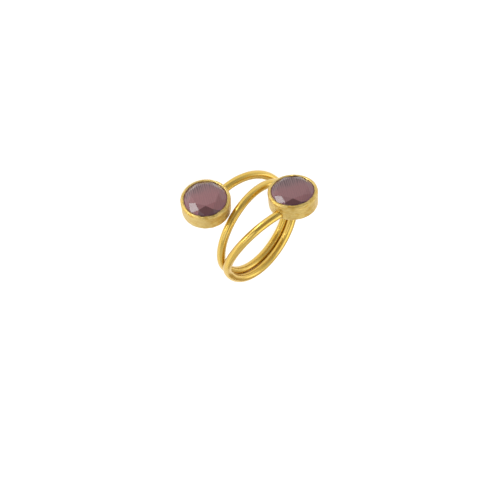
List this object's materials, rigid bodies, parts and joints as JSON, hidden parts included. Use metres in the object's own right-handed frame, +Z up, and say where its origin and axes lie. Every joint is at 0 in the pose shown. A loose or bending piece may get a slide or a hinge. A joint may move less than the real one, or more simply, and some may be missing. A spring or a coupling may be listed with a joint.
{
  "type": "adjustable ring",
  "caption": "Open coil ring of round gold-plated wire, with a round closed cup on each end and a faceted glass stone set in each cup, lying on its side.",
  "frame": {"origin": "middle of the lying ring's bounding box, at the height of the surface that it lies on", "axes": "+Z up from the surface, -Y the way the two cups face, +X from the upper cup towards the lower cup. The finger's axis runs 22 degrees off +Z."},
  "size_m": [0.0232, 0.0224, 0.0165],
  "materials": {
    "gold": "gold plated, polished wire and fine brushed cups",
    "stone": "polished facets on cloudy red-brown glass with fine fibres"
  },
  "bodies": {
    "root": {"band": "gold", "upper_stone": "stone", "lower_stone": "stone"}
  },
  "joints": []
}
